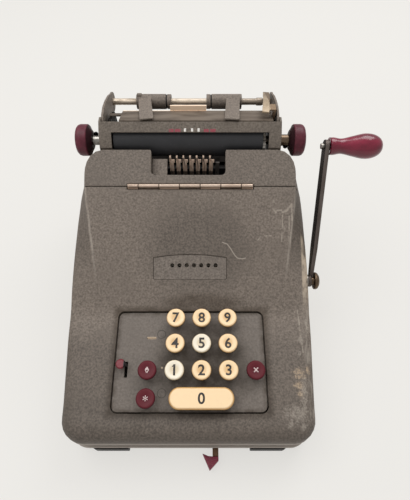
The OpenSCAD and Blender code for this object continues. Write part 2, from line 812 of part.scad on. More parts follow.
spool_z = [113.4, 128.4];
spool_r = 13.7;
module spool(side) {
  h = spool_z[1] - spool_z[0];
  color(dark_steel) translate([side * spool_at[0], spool_at[1], spool_z[0]]) difference() {
    union() {
      cylinder(r = spool_r, h = 1);
      cylinder(r = 6, h = h);
      translate([0, 0, h - 1]) cylinder(r = spool_r, h = 1);
    }
    translate([0, 0, -1]) cylinder(r = 3.06, h = h + 2);
  }
}

module ribbon_spool_left() { spool(-1); }
module ribbon_spool_right() { spool(1); }

module ribbon() {
  t = 0.4;
  path = [[-62, 75.5], [-40, 82.4], [38, 82.4], [62, 75.5]];
  color(rubber) translate([0, 0, spool_z[0] + 2]) linear_extrude(spool_z[1] - spool_z[0] - 4)
    polygon(concat(path, [for (i = [3 : -1 : 0]) path[i] + [0, t]]));
}

// Carriage on the rear deck
carriage_x = 74;
carriage_t = 3;
stand_x = 80.5;
stand_t = 2;
platen_shaft_r = 4;
// Underside of the paper table from front to back, and its height at y
table_under = [[103, 165.26], [127.6, 158.2]];
function under_table(y) = mix(table_under[0][1], table_under[1][1],
                              (y - table_under[0][0]) / (table_under[1][0] - table_under[0][0]));
module carriage_frame() {
  color(dark_steel) {
    difference() {
      for (s = [0, 1]) mirror([s, 0, 0]) plate_x(carriage_x, carriage_x + carriage_t)
        polygon([[90, deck_z + 4], [134, deck_z + 4], [134, 130], table_under[1],
                 [106.5, under_table(106.5)], [97, 158], [90, 148]]);
      bar_x(platen_at, platen_shaft_r + 0.05, -90, 90);
    }
    translate([-82.5, 90, deck_z]) cube([165, 10, 4]);
    translate([-82.5, 125, deck_z]) cube([165, 10, 4]);
  }
}

module stand_plate() {
  difference() {
    plate_x(stand_x, stand_x + stand_t) difference() {
      union() {
        polygon([[92, deck_z + 4], [134, deck_z + 4], [136, 122], [149, 141.8], [155, 140.5],
                 [158, 159], [154, 160.4], [143, 165.4], [130, 168.8], [118.7, 170.4], [109, 169],
                 [104.4, 165.8], [98, 158], [92, 150]]);
        translate([155, 150]) circle(9.7);
      }
      translate(rod_at) circle(rod_d / 2);
      translate([112, 152]) circle(1.55);
    }
    bar_x(platen_at, 6, 70, 90);
  }
}

module roll_stand_right() {
  color(paint) stand_plate();
}

module roll_stand_left() {
  color(paint) mirror([1, 0, 0]) stand_plate();
}

// Painted cover: a sloping band over the platen, two front legs and two side cheeks
cover_x = stand_x + stand_t;
cover_t = 2;
window_x = 73;
module carriage_cover() {
  color(paint) {
    plate_x(-cover_x - cover_t, cover_x + cover_t)
      polygon([[95, 159.2], [102.5, 165.4], [101.4, 166.8], [94, 160.5]]);
    for (s = [0, 1]) mirror([s, 0, 0]) {
      plate_x(window_x, cover_x + cover_t)
        polygon([[87.4, 122], [87.4, 148.7], [95, 159.2], [94, 160.5], [85.8, 149.2], [85.8, 122]]);
      difference() {
        plate_x(cover_x, cover_x + cover_t)
          polygon([[85.8, 122], [85.8, 149.2], [94, 160.5], [101.4, 166.8], [107, 167.4], [112.6, 163.4],
                   [118, 140], [118, 122]]);
        bar_x(platen_at, 6, 70, 90);
      }
    }
  }
}

platen_x = [-72, 68];
module platen_roller() {
  color(rubber) difference() {
    bar_x(platen_at, platen_d / 2, platen_x[0], platen_x[1]);
    bar_x(platen_at, platen_shaft_r, -80, 80);
  }
}

// Shaft with a sleeve and a round set screw beside each knob
sleeve_x = 86;
screw_x = 91.4;
screw_ball = 2.3;
knob_x = [94, 109];
module platen_shaft() {
  color(steel) {
    bar_x(platen_at, platen_shaft_r, -knob_x[0] - 8, knob_x[0] + 8);
    bar_x(platen_at, 5.4, sleeve_x, knob_x[0]);
    bar_x(platen_at, 4.6, -knob_x[0], -sleeve_x);
    for (s = [-1, 1]) translate([s * screw_x, platen_at[0] - s * 4, platen_at[1] - s * 4])
      sphere(r = screw_ball);
  }
}

module platen_knobs() {
  r = knob_d / 2;
  color(maroon) for (s = [0, 1]) mirror([s, 0, 0]) translate([0, platen_at[0], platen_at[1]])
    rotate([0, 90, 0]) difference() {
      rotate_extrude($fn = 64) polygon([
        [0, knob_x[0]], [7.4, knob_x[0]], [9, knob_x[0] + 0.6], [12.6, knob_x[0] + 3],
        [r - 0.8, knob_x[0] + 3.5], [r, knob_x[0] + 4.3], [r, knob_x[1] - 4], [r - 0.7, knob_x[1] - 2],
        [r - 2.2, knob_x[1] - 0.7], [r - 4.4, knob_x[1]], [0, knob_x[1] - 0.8]
      ]);
      translate([0, 0, knob_x[0] - 1]) cylinder(r = platen_shaft_r, h = 9);
    }
}

module platen_ratchet() {
  teeth = 24;
  r = 12.6;
  color(steel) translate([0, platen_at[0], platen_at[1]]) difference() {
    plate_x(platen_x[1], platen_x[1] + 3)
      polygon([for (i = [0 : teeth - 1]) each [
        (r - 1.6) * [cos(i * 360 / teeth), sin(i * 360 / teeth)],
        r * [cos((i + 0.75) * 360 / teeth), sin((i + 0.75) * 360 / teeth)]
      ]]);
    bar_x([0, 0], platen_shaft_r, 50, 90);
  }
}

// Paper table behind the platen, with its bent-up brass lip
module paper_table() {
  out = carriage_x + carriage_t;
  skin = [0.35, 1.2];
  color(brass) {
    plate_x(-66, out) polygon(concat(table_under, [table_under[1] + skin, table_under[0] + skin]));
    plate_x(-20, 15) polygon([[127.2, 158.6], [128.4, 158.6], [128.8, 165], [127.6, 165]]);
    plate_x(-out, -65.9) let (a = [115.2, under_table(115.2)], b = [121, under_table(121)])
      polygon([a, b, b + skin, a + skin]);
  }
}

module paper_release_lever() {
  pivot = [112, 152];
  color(brass) {
    plate_x(77.4, 79.4) polygon([[110.6, 172], [120, 172], [115.5, 149], [109, 149]]);
    plate_x(70, 79.4) polygon([[110.6, 171.6], [119.5, 171.2], [119.5, 172.6], [110.6, 173]]);
    translate([76, 159, 0]) rotate([0, 0, -7.4]) translate([-76, -159, 0]) plate_x(72.8, 79.2)
      polygon([[106.5, 171.6], [124, 170.8], [148, 161], [159.5, 156.6], [160, 158.2], [148.6, 162.8],
               [124.4, 172.6], [106.5, 173.4]]);
    bar_x(pivot, 1.5, 79.3, stand_x + stand_t);
  }
}

// Rod and the two sliding hubs that hold the paper roll
module roll_rod() {
  color(brass) {
    bar_x(rod_at, rod_d / 2, -cover_x, cover_x);
    bar_x(rod_at, 3.9, 66.4, 72);
  }
}

module roll_hub(outer, nose_l, bracket, lean) {
  middle = (bracket[0] + bracket[1]) / 2;
  difference() {
    union() {
      bar_x(rod_at, 7.4, bracket[0] - 1, nose_l - 5.2);
      bar_x(rod_at, 6.6, nose_l - 5.5, nose_l - 4);
      bar_x(rod_at, 7.2, nose_l - 4.1, nose_l);
      translate([middle, 155, 0]) rotate([0, 0, lean]) translate([-middle, -155, 0])
        plate_x(bracket[0] + 0.8, bracket[1])
        polygon([[155, 157.6], [149, 157.4], [140.5, 159.2], [128.4, 161.8], [112.2, 167], [101.6, 169.7],
                 [101.2, 168.4], [111.8, 165.6], [128, 160.3], [140, 157.7], [147, 154], [150, 150]]);
    }
    bar_x(rod_at, rod_d / 2 + 0.06, -90, 90);
  }
  if (outer) bar_x([rod_at[0], rod_at[1] + 7], 2.4, bracket[0], bracket[0] + 4.5);
}

module roll_hub_left() {
  color(paint) roll_hub(true, -20.8, [-55, -41.5], 8.5);
}

module roll_hub_right() {
  color(paint) mirror([1, 0, 0]) roll_hub(false, -15.2, [-50, -35.5], 4.2);
}

// Lever below the front edge, with its moulded tip
lever_z = [4.8, 7.3];
tip_y = -153;
module correction_lever() {
  color(dark_steel) translate([0, 0, lever_z[0]]) linear_extrude(lever_z[1] - lever_z[0]) difference() {
    union() {
      translate(stud_at) circle(6.5);
      translate([stud_at[0] - 2.6, tip_y]) square([5.2, stud_at[1] - tip_y]);
    }
    translate(stud_at) circle(stud_r + 0.06);
  }
}

module correction_lever_tip() {
  color(maroon) translate([0, 0, 3.2]) linear_extrude(5.4)
    polygon([[11.3, -150.6], [17.8, -164], [25.6, -156.4], [25.6, tip_y], [20.4, tip_y], [16.5, -152.6]]);
}

base_pan();
rubber_feet();
case_screws();
housing();
rear_cover();
lid();
hinge_leaf_front();
hinge_leaf_lid();
hinge_pin();
indicator_plate();
keyboard_plate();
side_frame_left();
side_frame_right();
frame_crossbars();
key_guide_plate();
key_0();
key_1();
key_2();
key_3();
key_4();
key_5();
key_6();
key_7();
key_8();
key_9();
subtotal_key();
total_key();
multiply_key();
function_lever();
correction_lever();
correction_lever_tip();
pin_carriage();
column_indicator();
crank_bush();
crank_shaft();
crank_arm();
crank_nut();
crank_spindle();
crank_grip();
drive_sector();
accumulator_wheels();
accumulator_shaft();
type_bars();
type_bar_guide();
ribbon_spool_left();
ribbon_spool_right();
ribbon();
carriage_frame();
carriage_cover();
platen_roller();
platen_shaft();
platen_knobs();
platen_ratchet();
paper_table();
paper_release_lever();
roll_stand_left();
roll_stand_right();
roll_rod();
roll_hub_left();
roll_hub_right();
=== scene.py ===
"""A ten-key printing adding machine with a hand crank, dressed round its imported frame."""
import json
import math
from functools import reduce
from operator import or_

import bmesh
import bpy
from mathutils import Matrix, Vector


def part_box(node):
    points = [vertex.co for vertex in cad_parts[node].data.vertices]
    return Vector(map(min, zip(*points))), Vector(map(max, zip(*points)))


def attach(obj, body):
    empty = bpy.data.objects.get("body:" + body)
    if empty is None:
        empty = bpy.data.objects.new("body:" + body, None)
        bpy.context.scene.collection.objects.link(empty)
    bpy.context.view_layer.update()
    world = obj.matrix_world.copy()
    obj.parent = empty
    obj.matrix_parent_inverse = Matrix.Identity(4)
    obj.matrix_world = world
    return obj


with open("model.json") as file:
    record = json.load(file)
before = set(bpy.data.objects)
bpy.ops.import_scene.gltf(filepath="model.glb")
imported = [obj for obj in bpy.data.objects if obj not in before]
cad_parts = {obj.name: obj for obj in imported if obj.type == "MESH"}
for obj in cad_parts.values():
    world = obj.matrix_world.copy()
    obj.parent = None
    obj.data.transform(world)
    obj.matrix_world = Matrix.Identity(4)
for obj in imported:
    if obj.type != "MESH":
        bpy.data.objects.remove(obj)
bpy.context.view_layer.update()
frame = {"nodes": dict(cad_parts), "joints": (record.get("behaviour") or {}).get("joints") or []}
nodes = frame["nodes"]
scene = bpy.context.scene
scene.view_settings.view_transform = "Standard"
mm = 0.001

# Camera. It stands in front of the desk and looks steeply down on the keys, the way the
# operator sees the machine. Its lens keeps the strong perspective of a near view.
eye = Vector((13.7, -206, 400)) * mm
look_down = math.radians(55)
sensor_width = 36
lens = 28.8
camera_data = bpy.data.cameras.new("camera")
camera_data.sensor_width = sensor_width
camera_data.lens = lens
camera = bpy.data.objects.new("camera", camera_data)
camera.location = eye
camera.rotation_euler = (math.pi / 2 - look_down, 0, 0)
scene.collection.objects.link(camera)
scene.camera = camera


class Wire:
    """A value in a material; arithmetic on it adds Math nodes."""

    def __init__(self, finish, socket):
        self.finish = finish
        self.socket = socket

    def math(self, operation, *values):
        return self.finish.node("ShaderNodeMath", {"operation": operation}, dict(enumerate(values)))

    def __add__(self, other):
        return self.math("ADD", self, other)

    def __sub__(self, other):
        return self.math("SUBTRACT", self, other)

    def __rsub__(self, other):
        return self.math("SUBTRACT", other, self)

    def __mul__(self, other):
        return self.math("MULTIPLY", self, other)

    def __or__(self, other):
        return self.math("MAXIMUM", self, other)

    def __abs__(self):
        return self.math("ABSOLUTE", self)

    __radd__ = __add__
    __rmul__ = __mul__

    def rise(self, low, high):
        """0 below low, 1 above high, smooth between; falls where low is above high."""
        return self.finish.node(
            "ShaderNodeMapRange",
            {"interpolation_type": "SMOOTHSTEP"},
            {"Value": self, "From Min": low, "From Max": high},
        )


class Finish:
    """A material, with its place in the frame in millimetres as the wires x, y and z."""

    def __init__(self, name, **uniform):
        self.material = bpy.data.materials.new(name)
        self.material.use_nodes = True
        self.nodes = self.material.node_tree.nodes
        self.links = self.material.node_tree.links
        self.shader = self.nodes["Principled BSDF"]
        self.output = self.nodes["Material Output"]
        for socket, value in uniform.items():
            self.feed(self.shader.inputs[socket.replace("_", " ")], value)
        metres = self.node("ShaderNodeTexCoord", output="Object")
        self.place = self.vector("SCALE", metres, Scale=1 / mm)
        split = [self.node("ShaderNodeSeparateXYZ", {}, {0: self.place}, i) for i in range(3)]
        self.x, self.y, self.z = split

    def feed(self, socket, value):
        if isinstance(value, Wire):
            self.links.new(value.socket, socket)
        elif isinstance(value, tuple) and socket.type == "RGBA":
            socket.default_value = (*value[:3], 1)
        else:
            socket.default_value = value

    def node(self, kind, settings=None, inputs=None, output=0):
        made = self.nodes.new(kind)
        for name, value in (settings or {}).items():
            setattr(made, name, value)
        for name, value in (inputs or {}).items():
            self.feed(made.inputs[name], value)
        return Wire(self, made.outputs[output])

    def vector(self, operation, *values, output=0, **named):
        inputs = {**dict(enumerate(values)), **named}
        return self.node("ShaderNodeVectorMath", {"operation": operation}, inputs, output)

    def mix(self, first, second, factor):
        """Colour first at factor 0, second at 1."""
        return self.node("ShaderNodeMix", {"data_type": "RGBA"}, {0: factor, 6: first, 7: second}, 2)

    def noise(self, size, detail=2.0, stretch=(1, 1, 1), roughness=0.5):
        """Cloudy pattern from 0 to 1 whose features are about size millimetres."""
        where = self.vector("DIVIDE", self.place, tuple(size * s for s in stretch))
        inputs = {"Vector": where, "Scale": 1, "Detail": detail, "Roughness": roughness}
        return self.node("ShaderNodeTexNoise", {}, inputs)

    def spot(self, centre, size):
        """1 at centre, 0 from size away, in millimetres."""
        away = self.vector("DIVIDE", self.vector("SUBTRACT", self.place, centre), size)
        return self.vector("LENGTH", away, output="Value").rise(1, 0)

    def scratch(self, start, end, width):
        """1 on the line from start to end, 0 beyond width beside it."""
        line = Vector(end) - Vector(start)
        offset = self.vector("SUBTRACT", self.place, start)
        along = self.vector("DOT_PRODUCT", offset, tuple(line / line.length_squared), output="Value")
        along = self.node("ShaderNodeClamp", {}, {0: along})
        foot = self.vector("SCALE", tuple(line), Scale=along)
        gap = self.vector("DISTANCE", offset, foot, output="Value")
        return gap.rise(width, width * 0.3)

    def dirt(self, reach):
        """Painted shade: 1 in corners where other surfaces stand within reach millimetres."""
        open_sky = self.node("ShaderNodeAmbientOcclusion", {"samples": 6}, {"Distance": reach * mm}, "AO")
        return 1 - open_sky

    def bump(self, height, depth):
        """Raises the surface by up to depth millimetres where height is 1."""
        self.feed(
            self.shader.inputs["Normal"],
            self.node("ShaderNodeBump", {}, {"Height": height, "Distance": depth * mm, "Strength": 1}),
        )

    def colour(self, value):
        self.feed(self.shader.inputs["Base Color"], value)

    def rough(self, value):
        self.feed(self.shader.inputs["Roughness"], value)


def tone(red, green, blue):
    """A colour as the eye reads it, 0 to 255, made linear."""
    return tuple(
        (c / 255 / 12.92 if c <= 10 else ((c / 255 + 0.055) / 1.055) ** 2.4) for c in (red, green, blue)
    )


# Desk top and room light. A broad pale surface and an even sky, with two large soft lamps
# above so that gloss and edges read.
desk_half = 3.0
desk_glow = 0.72


def desk():
    """A pale desk top that looks evenly lit to the eye, so that it reads as a plain ground."""
    ground = Finish("pale_desk", Roughness=0.9)
    ground.colour(tone(216, 214, 209))
    ray = ground.nodes.new("ShaderNodeLightPath")
    glow = ground.nodes.new("ShaderNodeEmission")
    glow.inputs["Color"].default_value = (*tone(242, 240, 236), 1)
    seen = Wire(ground, ray.outputs["Is Camera Ray"]) | Wire(ground, ray.outputs["Is Glossy Ray"])
    blend = ground.nodes.new("ShaderNodeMixShader")
    ground.feed(blend.inputs[0], seen * desk_glow)
    ground.links.new(ground.shader.outputs[0], blend.inputs[1])
    ground.links.new(glow.outputs[0], blend.inputs[2])
    ground.links.new(blend.outputs[0], ground.output.inputs["Surface"])
    corners = [(x * desk_half, y * desk_half, 0) for x, y in ((-1, -1), (1, -1), (1, 1), (-1, 1))]
    mesh = bpy.data.meshes.new("desk")
    mesh.from_pydata(corners, [], [(0, 1, 2, 3)])
    mesh.materials.append(ground.material)
    top = bpy.data.objects.new("desk", mesh)
    scene.collection.objects.link(top)


def room_light():
    """An even sky and two broad lamps, one at the left and one behind."""
    world = bpy.data.worlds.new("room")
    scene.world = world
    world.use_nodes = True
    sky = world.node_tree.nodes["Background"]
    sky.inputs["Color"].default_value = (1.0, 0.99, 0.975, 1)
    sky.inputs["Strength"].default_value = 0.56
    lamps = [("lamp_left", (-0.55, 0.2, 1.3), 8.0, 0.9), ("lamp_back", (0.5, 0.75, 1.2), 8.5, 0.8)]
    for name, spot, power, size in lamps:
        data = bpy.data.lights.new(name, "AREA")
        data.energy = power
        data.size = size
        lamp = bpy.data.objects.new(name, data)
        lamp.location = spot
        lamp.rotation_euler = (Vector((0, 0, 0.05)) - Vector(spot)).to_track_quat("-Z", "Y").to_euler()
        scene.collection.objects.link(lamp)


desk()
room_light()


# Casing. Pressed sheet steel in baked grey crinkle paint: a grain of fine wrinkles, faint
# clouds of old grime, and pale rubbed places on the right side by the crank.
weld_reach = 0.004
flat_within = math.radians(0.4)
sharp_from = math.radians(32)


def dress(name, finish, edge):
    """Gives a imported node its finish, and its sharp edges a small round of edge millimetres."""
    thing = nodes[name]
    mesh = thing.data
    mesh.materials.clear()
    mesh.materials.append(finish.material)
    mesh.polygons.foreach_set("material_index", [0] * len(mesh.polygons))
    mesh.shade_smooth()
    for packed in ("custom_normal", "sharp_edge"):
        if packed in mesh.attributes:
            mesh.attributes.remove(mesh.attributes[packed])
    weld = thing.modifiers.new("weld", "WELD")
    weld.merge_threshold = weld_reach * mm
    flat = thing.modifiers.new("flat_faces", "DECIMATE")
    flat.decimate_type = "DISSOLVE"
    flat.angle_limit = flat_within
    if edge:
        rounding = thing.modifiers.new("rounded_edges", "BEVEL")
        rounding.width = edge * mm
        rounding.segments = 2
        rounding.use_clamp_overlap = False
        rounding.limit_method = "ANGLE"
        rounding.angle_limit = sharp_from
    shade = thing.modifiers.new("even_shading", "WEIGHTED_NORMAL")
    shade.weight = 100
    return thing


def crinkle(name, colour, darkening=None, bare=None, speckle=0.32):
    """Grey crinkle paint; its dark mask lays smears and painted shade on it, and bare lays the pale rubbed
    ground, painted highlights and painted shade over that.
    """
    paint = Finish(name, Roughness=0.62, Specular_IOR_Level=0.3)
    grain = paint.noise(1.7, 3)
    wrinkle = paint.noise(0.8, 2)
    cloud = paint.noise(38, 3)
    light = tuple(min(1, c * 1.42) for c in colour)
    dark = tuple(c * 0.6 for c in colour)
    base = paint.mix(dark, light, grain.rise(0.5 - speckle, 0.5 + speckle))
    base = paint.mix(base, tuple(c * 0.86 for c in colour), cloud.rise(0.45, 0.8) * 0.5)
    if darkening:
        # One dark colour serves both the smears and the painted shade.
        grease_and_shade = tuple(c * part for c, part in zip(colour, (0.27, 0.22, 0.16)))
        base = paint.mix(base, grease_and_shade, darkening(paint))
    if bare:
        base = bare(paint, base)
    paint.colour(base)
    paint.rough(0.52 + grain * 0.2)
    paint.bump(wrinkle * 0.6 + grain * 0.4, 0.16)
    return paint


hood_grey = tone(117, 107, 98)
dusty = tone(158, 149, 138)

# The creases run crease_half either side of the middle, and crease_flare wider per millimetre back.
middle_x = 0.75
crease_half = 90.2
crease_flare = 0.156


def crease(paint, base):
    """Pale worn ridge down each side of the hood, with painted shade on the side beyond it."""
    beyond = abs(paint.x - middle_x) - crease_half - crease_flare * paint.y
    along = paint.y.rise(-24, 8) * paint.y.rise(53, 51)
    # Painted shade: the side beyond the ridge is made darker.
    base = paint.vector("SCALE", base, Scale=1 - beyond.rise(-0.2, 1.2) * along * 0.2)
    rubbed = abs(beyond + 1).rise(1.5, 0.3) * paint.noise(3, 3, (1, 5, 4)).rise(0.25, 0.6)
    return paint.mix(base, tone(172, 163, 152), rubbed * along * 0.5)


def dull_places(paint):
    """Where the paint is made darker: 1 on the lid, more on the hood's middle, and on the apron and the
    front, where it is painted shade on faces turned from the lamps.
    """
    middle = paint.spot((8, 4, 105), (76, 62, 62)).rise(0, 0.7)
    apron = paint.y.rise(-50, -80) * (1.25 + paint.x.rise(10, -60) * 0.35)
    front = paint.y.rise(-112, -128) * 0.4
    return middle * 1.6 | apron + front | paint.y.rise(50, 53)


def side_rubs(paint, base, streaks):
    """Pale strip on the right side by the crank, and a dusty one along the right shoulder."""
    strip = paint.x.rise(101.8, 103.6) * paint.z.rise(60, 70)
    strip = strip * paint.y.rise(-48, -20) * paint.y.rise(22, 14)
    base = paint.mix(base, tone(190, 174, 154), strip * streaks.rise(0.3, 0.58) * 0.88)
    shoulder = paint.x.rise(98, 104) * paint.z.rise(34, 48)
    shoulder = shoulder * paint.y.rise(-150, -125) * paint.y.rise(-12, -40)
    return paint.mix(base, dusty, shoulder * streaks.rise(0.42, 0.66) * 0.6)


tan_patches = [
    ((93.6, -95.6, 60.2), (10, 6.4, 7)),
    ((101.8, -93.6, 59.4), (5, 6, 5)),
    ((94, -99, 59.6), (11, 3.6, 5)),
    ((93.3, -106.3, 58.6), (8.4, 6.8, 7)),
    ((94.1, -113.1, 57.2), (5.4, 6.4, 6)),
]
grey_patches = [
    ((98.2, -68.5, 65.1), (4.6, 7, 6)),
    ((95.8, -80.2, 63.2), (3, 5, 4)),
    ((105.4, -55, 66.6), (3.5, 12, 6)),
    ((83, -136.4, 54), (6, 7, 6)),
    ((94, -138, 52.6), (7, 7, 6)),
    ((95.6, -128, 54.4), (4.5, 6, 5)),
    ((90, -128, 55), (22, 14, 16)),
    ((97, -112, 57), (7, 34, 9)),
]


def patches(paint, base):
    """Tan and grey mottled wear on the right of the apron, thin at its edges."""
    coarse = paint.noise(3.6, 4, (1, 1.3, 1), 0.6) - 0.5
    fine = paint.noise(1.5, 4, (1, 1.1, 1), 0.7) - 0.5
    mottle = coarse * 1.6 + fine * 3
    tan = reduce(or_, (paint.spot(*patch) for patch in tan_patches))
    base = paint.mix(base, tone(180, 158, 132), tan.rise(0, 0.3) * (tan + mottle).rise(0.25, 1.3) * 0.78)
    grey = reduce(or_, (paint.spot(*patch) for patch in grey_patches))
    return paint.mix(base, dusty, grey.rise(0, 0.4) * (grey + mottle).rise(0.3, 1.3) * 0.62)


# The hood's face passes this far back at this height, and rises by hood_rise per millimetre.
hood_back = 10
hood_height = 105.9
hood_rise = 0.6645


def on_hood(x, y):
    """The point of the hood's sloping face that lies x across and y back."""
    return (x, y, hood_height + (y - hood_back) * hood_rise)


hood_cuts = [
    ((76.7, 40.4), (76.7, 39.8), 1.6),
    ((76.3, 34.4), (78.6, 31.6), 1.4),
    ((79.5, 33.3), (83.5, 33.4), 1.1),
    ((84.5, 32), (89, 33.3), 1.4),
    ((88, 32.9), (92.6, 37.6), 1.4),
    ((92.9, 38.1), (93.1, 25.9), 1.3),
    ((90.6, 29), (90.5, 17.6), 0.9),
    ((89.7, 14.5), (89.7, 10), 0.8),
    ((84.5, 29.7), (84.4, 19.1), 0.7),
    ((83.9, 16), (83.5, 10), 1.0),
    ((62, 10.7), (64.5, 13.7), 0.8),
    ((64.5, 13.7), (73.9, 14.1), 0.8),
]
shoulder_cuts = [
    ((97.3, -41, 72.1), (98.1, -49, 68.9), 0.8),
    ((98.1, -50, 68.8), (98.8, -65, 65.8), 1.2),
    ((99, -66, 65.5), (99.2, -79, 63.1), 0.9),
    ((94.6, -43.6, 71), (94.7, -44.4, 70.8), 0.8),
]
curl = [
    (29.5, 9), (34, 7.6), (37.1, 4.2), (39.2, 1.2), (41, -1),
    (43, -2.8), (45, -3.4), (47.6, -3.5), (50.5, -3),
]
curl_width = 0.7


def scratches(paint):
    """Broken cuts through the paint on the right, and one long curl across the hood."""
    flakes = paint.noise(4.2, 4, (1, 1.2, 1), 0.65)
    straight = [(on_hood(*start), on_hood(*end), width) for start, end, width in hood_cuts]
    cuts = reduce(or_, (paint.scratch(*cut) for cut in straight + shoulder_cuts))
    bends = [on_hood(*bend) for bend in curl]
    curled = reduce(or_, (paint.scratch(*pair, curl_width) for pair in zip(bends, bends[1:])))
    return cuts * flakes.rise(0.34, 0.6) * 0.48 | curled * 0.6


def casing_wear(paint, base):
    """Marks of use on the casing's paint, from the ground up, with painted shade on the apron, the front,
    beyond each crease and under the platen, and a painted highlight along the foot of the front wall.
    """
    # Painted shade on the apron and the front; the lid and the hood's middle are made darker too.
    base = paint.vector("SCALE", base, Scale=1 - dull_places(paint) * 0.17)
    base = crease(paint, base)
    streaks = paint.noise(2.2, 4, (1, 5, 2.5))
    base = side_rubs(paint, base, streaks)
    base = patches(paint, base)
    scuffs = paint.spot((85, 24, 115), (11, 18, 15)) * streaks.rise(0.55, 0.72)
    base = paint.mix(base, dusty, scuffs * 0.5)
    base = paint.mix(base, tone(178, 168, 155), scratches(paint))
    # Painted highlight: a pale band along the rounded foot of the front wall.
    front_wall_highlight = paint.z.rise(38.5, 34) * paint.z.rise(27, 31) * paint.y.rise(-141, -145)
    base = paint.mix(base, tone(165, 155, 146), front_wall_highlight * 0.85)
    # Painted shade: the deck in the well under the platen is made nearly black.
    shaded_well_floor = paint.z.rise(95.5, 94) * paint.y.rise(84, 86) * paint.y.rise(130, 124)
    shade_under_platen = shaded_well_floor * abs(paint.x).rise(78, 76)
    return paint.mix(base, tone(18, 16, 15), shade_under_platen * 0.95)


panel_axis = Vector(next(j["axis"] for j in frame["joints"] if j["name"] == "key_1_press"))
panel_tilt = math.atan2(-panel_axis.y, panel_axis.z)

# Middle of the key panel's front edge, the way up its slope from there to its centre, and
# half its size across and up the slope.
panel_front = Vector((0.85, -128, 55))
panel_middle = 43
panel_reach = (65.4, 43)


def beside_panel(paint, spread):
    """1 along the gap round the key panel, 0 from spread millimetres beside it."""
    level, rise = math.cos(panel_tilt), math.sin(panel_tilt)
    forward = (paint.y - panel_front.y) * level + (paint.z - panel_front.z) * rise
    beyond_side = abs(paint.x - panel_front.x) - panel_reach[0]
    beyond_end = abs(forward - panel_middle) - panel_reach[1]
    return abs(beyond_side | beyond_end).rise(spread, 0) * paint.z.rise(82, 76)


def casing_grime(paint):
    """Painted shade in the corners, broken by smears, painted shade and smears in the hollow behind the
    keys, and a darker band along the gap round the key panel.
    """
    smear = 0.3 + 0.75 * paint.noise(7, 4)
    # Painted shade, smudged, in the hollow between the key panel and the hood.
    shade_behind_keys = paint.spot((12, -37, 75), (56, 13, 16)).rise(0, 0.7) * 0.75
    return paint.dirt(9).rise(0.25, 1.0) * smear | (beside_panel(paint, 7) | shade_behind_keys) * smear


casing = crinkle("casing_paint", hood_grey, casing_grime, casing_wear)
plain_casing = crinkle("cover_paint", hood_grey, casing_grime)
dress("housing", casing, 0.5)
dress("rear_cover", plain_casing, 0.4)
dress("lid", casing, 0.5)

# Base pan and feet. The pan is painted like the casing and shows as a lip under it, with a painted
# highlight along the front. The feet are black moulded rubber, held by slotted screws.
def pan_wear(paint, base):
    """Painted highlight: a pale rim along the front of the pan."""
    rim = paint.y.rise(-142, -144.5) * paint.z.rise(10.5, 11.2)
    return paint.mix(base, tone(196, 186, 176), rim * 0.9)


def metal(name, colour, darkening=0.5, gloss=0.38, brush=(1, 1, 8), corners=0.7, marks=None):
    """Worn metal: long fine brush lines, clouds of tarnish, and painted shade in its corners."""
    bare = Finish(name, Metallic=1.0)
    lines = bare.noise(0.5, 2, brush)
    stain = bare.noise(7, 4)
    base = bare.mix(tuple(c * 0.82 for c in colour), tuple(min(1, c * 1.12) for c in colour), lines)
    base = bare.mix(base, tuple(c * 0.42 for c in colour), stain.rise(0.5, 0.8) * darkening)
    # Painted shade in the corners, as strong as corners asks.
    base = bare.mix(base, tuple(c * 0.25 for c in colour), bare.dirt(2.5).rise(0.3, 1) * corners)
    if marks:
        base = marks(bare, base)
    bare.colour(base)
    bare.rough(gloss + stain.rise(0.4, 0.8) * 0.25)
    bare.bump(lines * 0.7 + stain * 0.3, 0.02)
    return bare


def rubber(name, colour, dust=0.3):
    """Matt black rubber with a grey bloom and fine dust."""
    black = Finish(name, Roughness=0.55, Specular_IOR_Level=0.4)
    bloom = black.noise(14, 4)
    fleck = black.noise(0.9, 1)
    base = black.mix(colour, tuple(c * 1.7 + 0.004 for c in colour), bloom.rise(0.35, 0.75) * dust * 2)
    base = black.mix(base, tone(140, 138, 134), fleck.rise(0.76, 0.8) * 0.5)
    black.colour(base)
    black.rough(0.42 + bloom * 0.25)
    black.bump(fleck * 0.5 + bloom * 0.5, 0.03)
    return black


foot_rubber = rubber("foot_rubber", tone(38, 36, 35))
bright = metal("plated_steel", tone(168, 163, 156), 0.35, 0.3)
dress("base_pan", crinkle("pan_paint", hood_grey, casing_grime, pan_wear), 0.5)
dress("rubber_feet", foot_rubber, 0.6)
dress("case_screws", bright, 0.15)

# Piano hinge. Two brass leaves rolled round one pin, worn to a pinkish gold on the knuckles.

# Where one joint between knuckles lies across the machine, and how far apart the joints are.
first_joint = -47.2
knuckle_pitch = 18.82


def knuckle_joints(brass, base):
    """Thin dark lines where one knuckle meets the next."""
    away = brass.x.math("PINGPONG", brass.x - first_joint, knuckle_pitch / 2)
    stained = brass.noise(20, 2, (1, 9, 9)).rise(0.4, 0.7) * 0.25
    base = brass.mix(base, tone(150, 124, 104), stained)
    return brass.mix(base, tone(62, 46, 38), away.rise(0.7, 0.2) * 0.85)


hinge_brass = metal("hinge_brass", tone(204, 184, 168), 0.2, 0.4, (8, 1, 1), 0.25, knuckle_joints)
for name in ("hinge_leaf_front", "hinge_leaf_lid", "hinge_pin"):
    dress(name, hinge_brass, 0.12)

# Indicator plate. A small painted plate set flush in the hood, with seven round holes.
# The indicator paint is made darker by painted shade in its corners and round its holes.
indicator_paint = crinkle("indicator_paint", tone(116, 107, 99), lambda p: p.dirt(3).rise(0.3, 1) * 0.7)
dress("indicator_plate", indicator_paint, 0.25)

